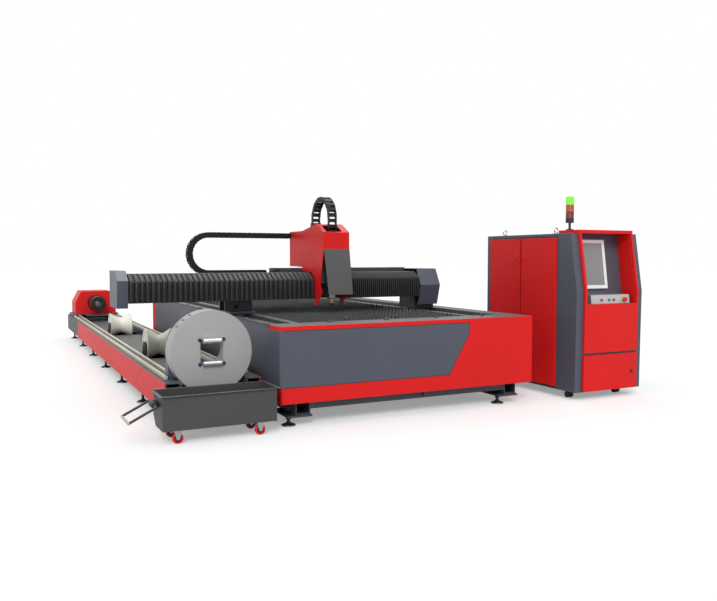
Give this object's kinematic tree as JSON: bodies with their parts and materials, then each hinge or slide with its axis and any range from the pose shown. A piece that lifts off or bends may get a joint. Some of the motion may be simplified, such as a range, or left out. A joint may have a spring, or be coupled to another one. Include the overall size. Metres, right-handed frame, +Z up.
{
  "type": "fibre laser cutting machine",
  "caption": "Flatbed sheet laser cutter with a travelling gantry and head, a side bed with chucks for tube, a scrap trolley and a control cabinet.",
  "frame": {"origin": "on the floor under the centre of the flatbed's front left levelling foot", "axes": "+Y back along the flatbed and the tube bed, +X to the right towards the cabinet, +Z up"},
  "size_m": [4.5236, 7.5058, 1.7972],
  "materials": {
    "red_paint": "semi-gloss red paint",
    "slate_paint": "satin slate paint",
    "frame_paint": "satin dark grey paint",
    "deck_paint": "satin grey paint",
    "slat_steel": "worn sheet steel",
    "rail_steel": "ground steel",
    "cream_steel": "pale ground steel",
    "black_steel": "black satin paint",
    "bellows_skin": "matte coated cloth",
    "chain_plastic": "matte nylon",
    "panel_grey": "satin grey paint",
    "head_alloy": "anodised alloy",
    "nozzle_brass": "turned brass",
    "chuck_grey": "satin light grey paint",
    "roller_steel": "bright steel",
    "ivory_nylon": "ivory nylon",
    "chuck_dark": "dark machined iron",
    "bin_grey": "satin grey paint",
    "tyre_red": "red cast tyre",
    "white_plastic": "white moulding",
    "screen_glass": "grey screen",
    "silver_panel": "silver panel",
    "lamp_green": "clear green",
    "button_green": "green moulding",
    "button_red": "red moulding",
    "castor_black": "black moulding",
    "eye_steel": "plated steel",
    "foot_black": "black pad"
  },
  "bodies": {
    "machine_base": {"bed_frame": "frame_paint", "bed_red_panels": "red_paint", "bed_grey_panels": "slate_paint", "bed_deck": "deck_paint", "cutting_slats": "slat_steel", "slat_rack": "frame_paint", "gantry_rails": "rail_steel", "levelling_feet": "foot_black", "transfer_balls": "rail_steel", "tube_bed_frame": "frame_paint", "tube_bed_side_panels": "red_paint", "tube_bed_rails": "cream_steel", "tube_bed_deck": "deck_paint", "front_chuck_stand": "slate_paint", "cabinet_shell": "slate_paint", "cabinet_front_cover": "red_paint", "monitor_bezel": "white_plastic", "monitor_screen": "screen_glass", "control_strip": "silver_panel", "lifting_eyes": "eye_steel", "tower_light_base": "castor_black", "tower_light_lenses": "lamp_green", "cabinet_casters": "castor_black"},
    "gantry": {"gantry_beam": "frame_paint", "gantry_end_caps": "slate_paint", "gantry_carriages": "frame_paint", "bellows_left": "bellows_skin", "bellows_right": "bellows_skin", "x_cable_chain": "chain_plastic"},
    "laser_head": {"head_cover": "red_paint", "head_front_panel": "panel_grey", "head_carriage": "black_steel", "z_cable_chain": "chain_plastic"},
    "cutting_tool": {"cutting_head": "head_alloy", "cutting_nozzle": "nozzle_brass"},
    "front_chuck": {"front_chuck_drum": "chuck_grey"},
    "upper_jaw": {"front_chuck_jaw_upper": "roller_steel"},
    "lower_jaw": {"front_chuck_jaw_lower": "roller_steel"},
    "front_support": {"support_bracket_front": "black_steel"},
    "front_support_roller": {"support_roller_front": "ivory_nylon"},
    "rear_support": {"support_bracket_rear": "black_steel"},
    "rear_support_roller": {"support_roller_rear": "ivory_nylon"},
    "rear_chuck_carriage": {"rear_chuck_housing": "red_paint", "rear_chuck_base": "slate_paint"},
    "rear_chuck_spindle": {"rear_chuck_body": "chuck_dark"},
    "trolley": {"trolley_bin": "bin_grey", "trolley_caster_forks": "rail_steel"},
    "trolley_handle_loop": {"trolley_handle": "bin_grey"},
    "trolley_front_left": {"trolley_wheel_front_left": "tyre_red"},
    "trolley_rear_left": {"trolley_wheel_rear_left": "tyre_red"},
    "trolley_front_right": {"trolley_wheel_front_right": "tyre_red"},
    "trolley_rear_right": {"trolley_wheel_rear_right": "tyre_red"},
    "front_side_door": {"side_door_front": "red_paint"},
    "rear_side_door": {"side_door_rear": "red_paint"},
    "lower_door": {"lower_front_door": "red_paint"},
    "lamp_push": {"lamp_button": "button_red"},
    "green_push": {"green_button": "button_green"},
    "red_push": {"red_button": "button_red"},
    "stop_push": {"emergency_stop_button": "button_red"}
  },
  "joints": [
    {"name": "gantry_travel", "type": "slide", "parent": "machine_base", "child": "gantry", "axis": [0, 1, 0], "range_m": [-0.95, 2.1]},
    {"name": "head_travel", "type": "slide", "parent": "gantry", "child": "laser_head", "axis": [1, 0, 0], "range_m": [-1.33, 0.72], "deforming": ["bellows_left", "bellows_right", "x_cable_chain"]},
    {"name": "cutting_head_lift", "type": "slide", "parent": "laser_head", "child": "cutting_tool", "axis": [0, 0, 1], "range_m": [-0.24, 0.05], "deforming": ["z_cable_chain"]},
    {"name": "front_chuck_spin", "type": "hinge", "parent": "machine_base", "child": "front_chuck", "pos_m": [-0.527, 0.24, 0.563], "axis": [0, 1, 0], "continuous": true},
    {"name": "upper_jaw_slide", "type": "slide", "parent": "front_chuck", "child": "upper_jaw", "axis": [0, 0, -1], "range_m": [0, 0.055]},
    {"name": "lower_jaw_slide", "type": "slide", "parent": "front_chuck", "child": "lower_jaw", "axis": [0, 0, 1], "range_m": [0, 0.055]},
    {"name": "front_support_lift", "type": "slide", "parent": "machine_base", "child": "front_support", "axis": [0, 0, 1], "range_m": [-0.084, 0]},
    {"name": "rear_support_lift", "type": "slide", "parent": "machine_base", "child": "rear_support", "axis": [0, 0, 1], "range_m": [-0.084, 0]},
    {"name": "front_roller_spin", "type": "hinge", "parent": "front_support", "child": "front_support_roller", "pos_m": [-0.527, 2.087, 0.415], "axis": [1, 0, 0], "continuous": true},
    {"name": "rear_roller_spin", "type": "hinge", "parent": "rear_support", "child": "rear_support_roller", "pos_m": [-0.527, 4.377, 0.415], "axis": [1, 0, 0], "continuous": true},
    {"name": "rear_chuck_travel", "type": "slide", "parent": "machine_base", "child": "rear_chuck_carriage", "axis": [0, -1, 0], "range_m": [0, 1.78]},
    {"name": "rear_chuck_spin", "type": "hinge", "parent": "rear_chuck_carriage", "child": "rear_chuck_spindle", "pos_m": [-0.527, 6.69, 0.563], "axis": [0, 1, 0], "continuous": true},
    {"name": "trolley_roll", "type": "slide", "parent": "machine_base", "child": "trolley", "axis": [-1, 0, 0], "range_m": [0, 1]},
    {"name": "trolley_handle_fold", "type": "hinge", "parent": "trolley", "child": "trolley_handle_loop", "pos_m": [-1, -0.063, 0.262], "axis": [0, 1, 0], "range_deg": [0, 115]},
    {"name": "side_door_front_swing", "type": "hinge", "parent": "machine_base", "child": "front_side_door", "pos_m": [2.5625, 0.011, 0.76], "axis": [0, 0, 1], "range_deg": [0, 45]},
    {"name": "side_door_rear_swing", "type": "hinge", "parent": "machine_base", "child": "rear_side_door", "pos_m": [2.5625, 0.97, 0.76], "axis": [0, 0, -1], "range_deg": [0, 45]},
    {"name": "lower_front_door_swing", "type": "hinge", "parent": "machine_base", "child": "lower_door", "pos_m": [2.64, -0.2388, 0.2335], "axis": [0, 0, -1], "range_deg": [0, 90]},
    {"name": "lamp_button_push", "type": "slide", "parent": "machine_base", "child": "lamp_push", "axis": [0, 1, 0], "range_m": [0, 0.005], "stiffness_N_per_m": 400, "springref_m": -0.004},
    {"name": "green_button_push", "type": "slide", "parent": "machine_base", "child": "green_push", "axis": [0, 1, 0], "range_m": [0, 0.005], "stiffness_N_per_m": 400, "springref_m": -0.004},
    {"name": "red_button_push", "type": "slide", "parent": "machine_base", "child": "red_push", "axis": [0, 1, 0], "range_m": [0, 0.005], "stiffness_N_per_m": 400, "springref_m": -0.004},
    {"name": "emergency_stop_push", "type": "slide", "parent": "machine_base", "child": "stop_push", "axis": [0, 1, 0], "range_m": [0, 0.005]},
    {"name": "trolley_wheel_front_left_spin", "type": "hinge", "parent": "trolley", "child": "trolley_front_left", "pos_m": [-0.859, -0.172, 0.0375], "axis": [0, 1, 0], "continuous": true},
    {"name": "trolley_wheel_rear_left_spin", "type": "hinge", "parent": "trolley", "child": "trolley_rear_left", "pos_m": [-0.859, 0.035, 0.0375], "axis": [0, 1, 0], "continuous": true},
    {"name": "trolley_wheel_front_right_spin", "type": "hinge", "parent": "trolley", "child": "trolley_front_right", "pos_m": [-0.28, -0.172, 0.0375], "axis": [0, 1, 0], "continuous": true},
    {"name": "trolley_wheel_rear_right_spin", "type": "hinge", "parent": "trolley", "child": "trolley_rear_right", "pos_m": [-0.28, 0.035, 0.0375], "axis": [0, 1, 0], "continuous": true}
  ],
  "couplings": [
    {"joint": "lower_jaw_slide", "follows": "upper_jaw_slide", "ratio": 1},
    {"joint": "rear_chuck_spin", "follows": "front_chuck_spin", "ratio": 1}
  ]
}
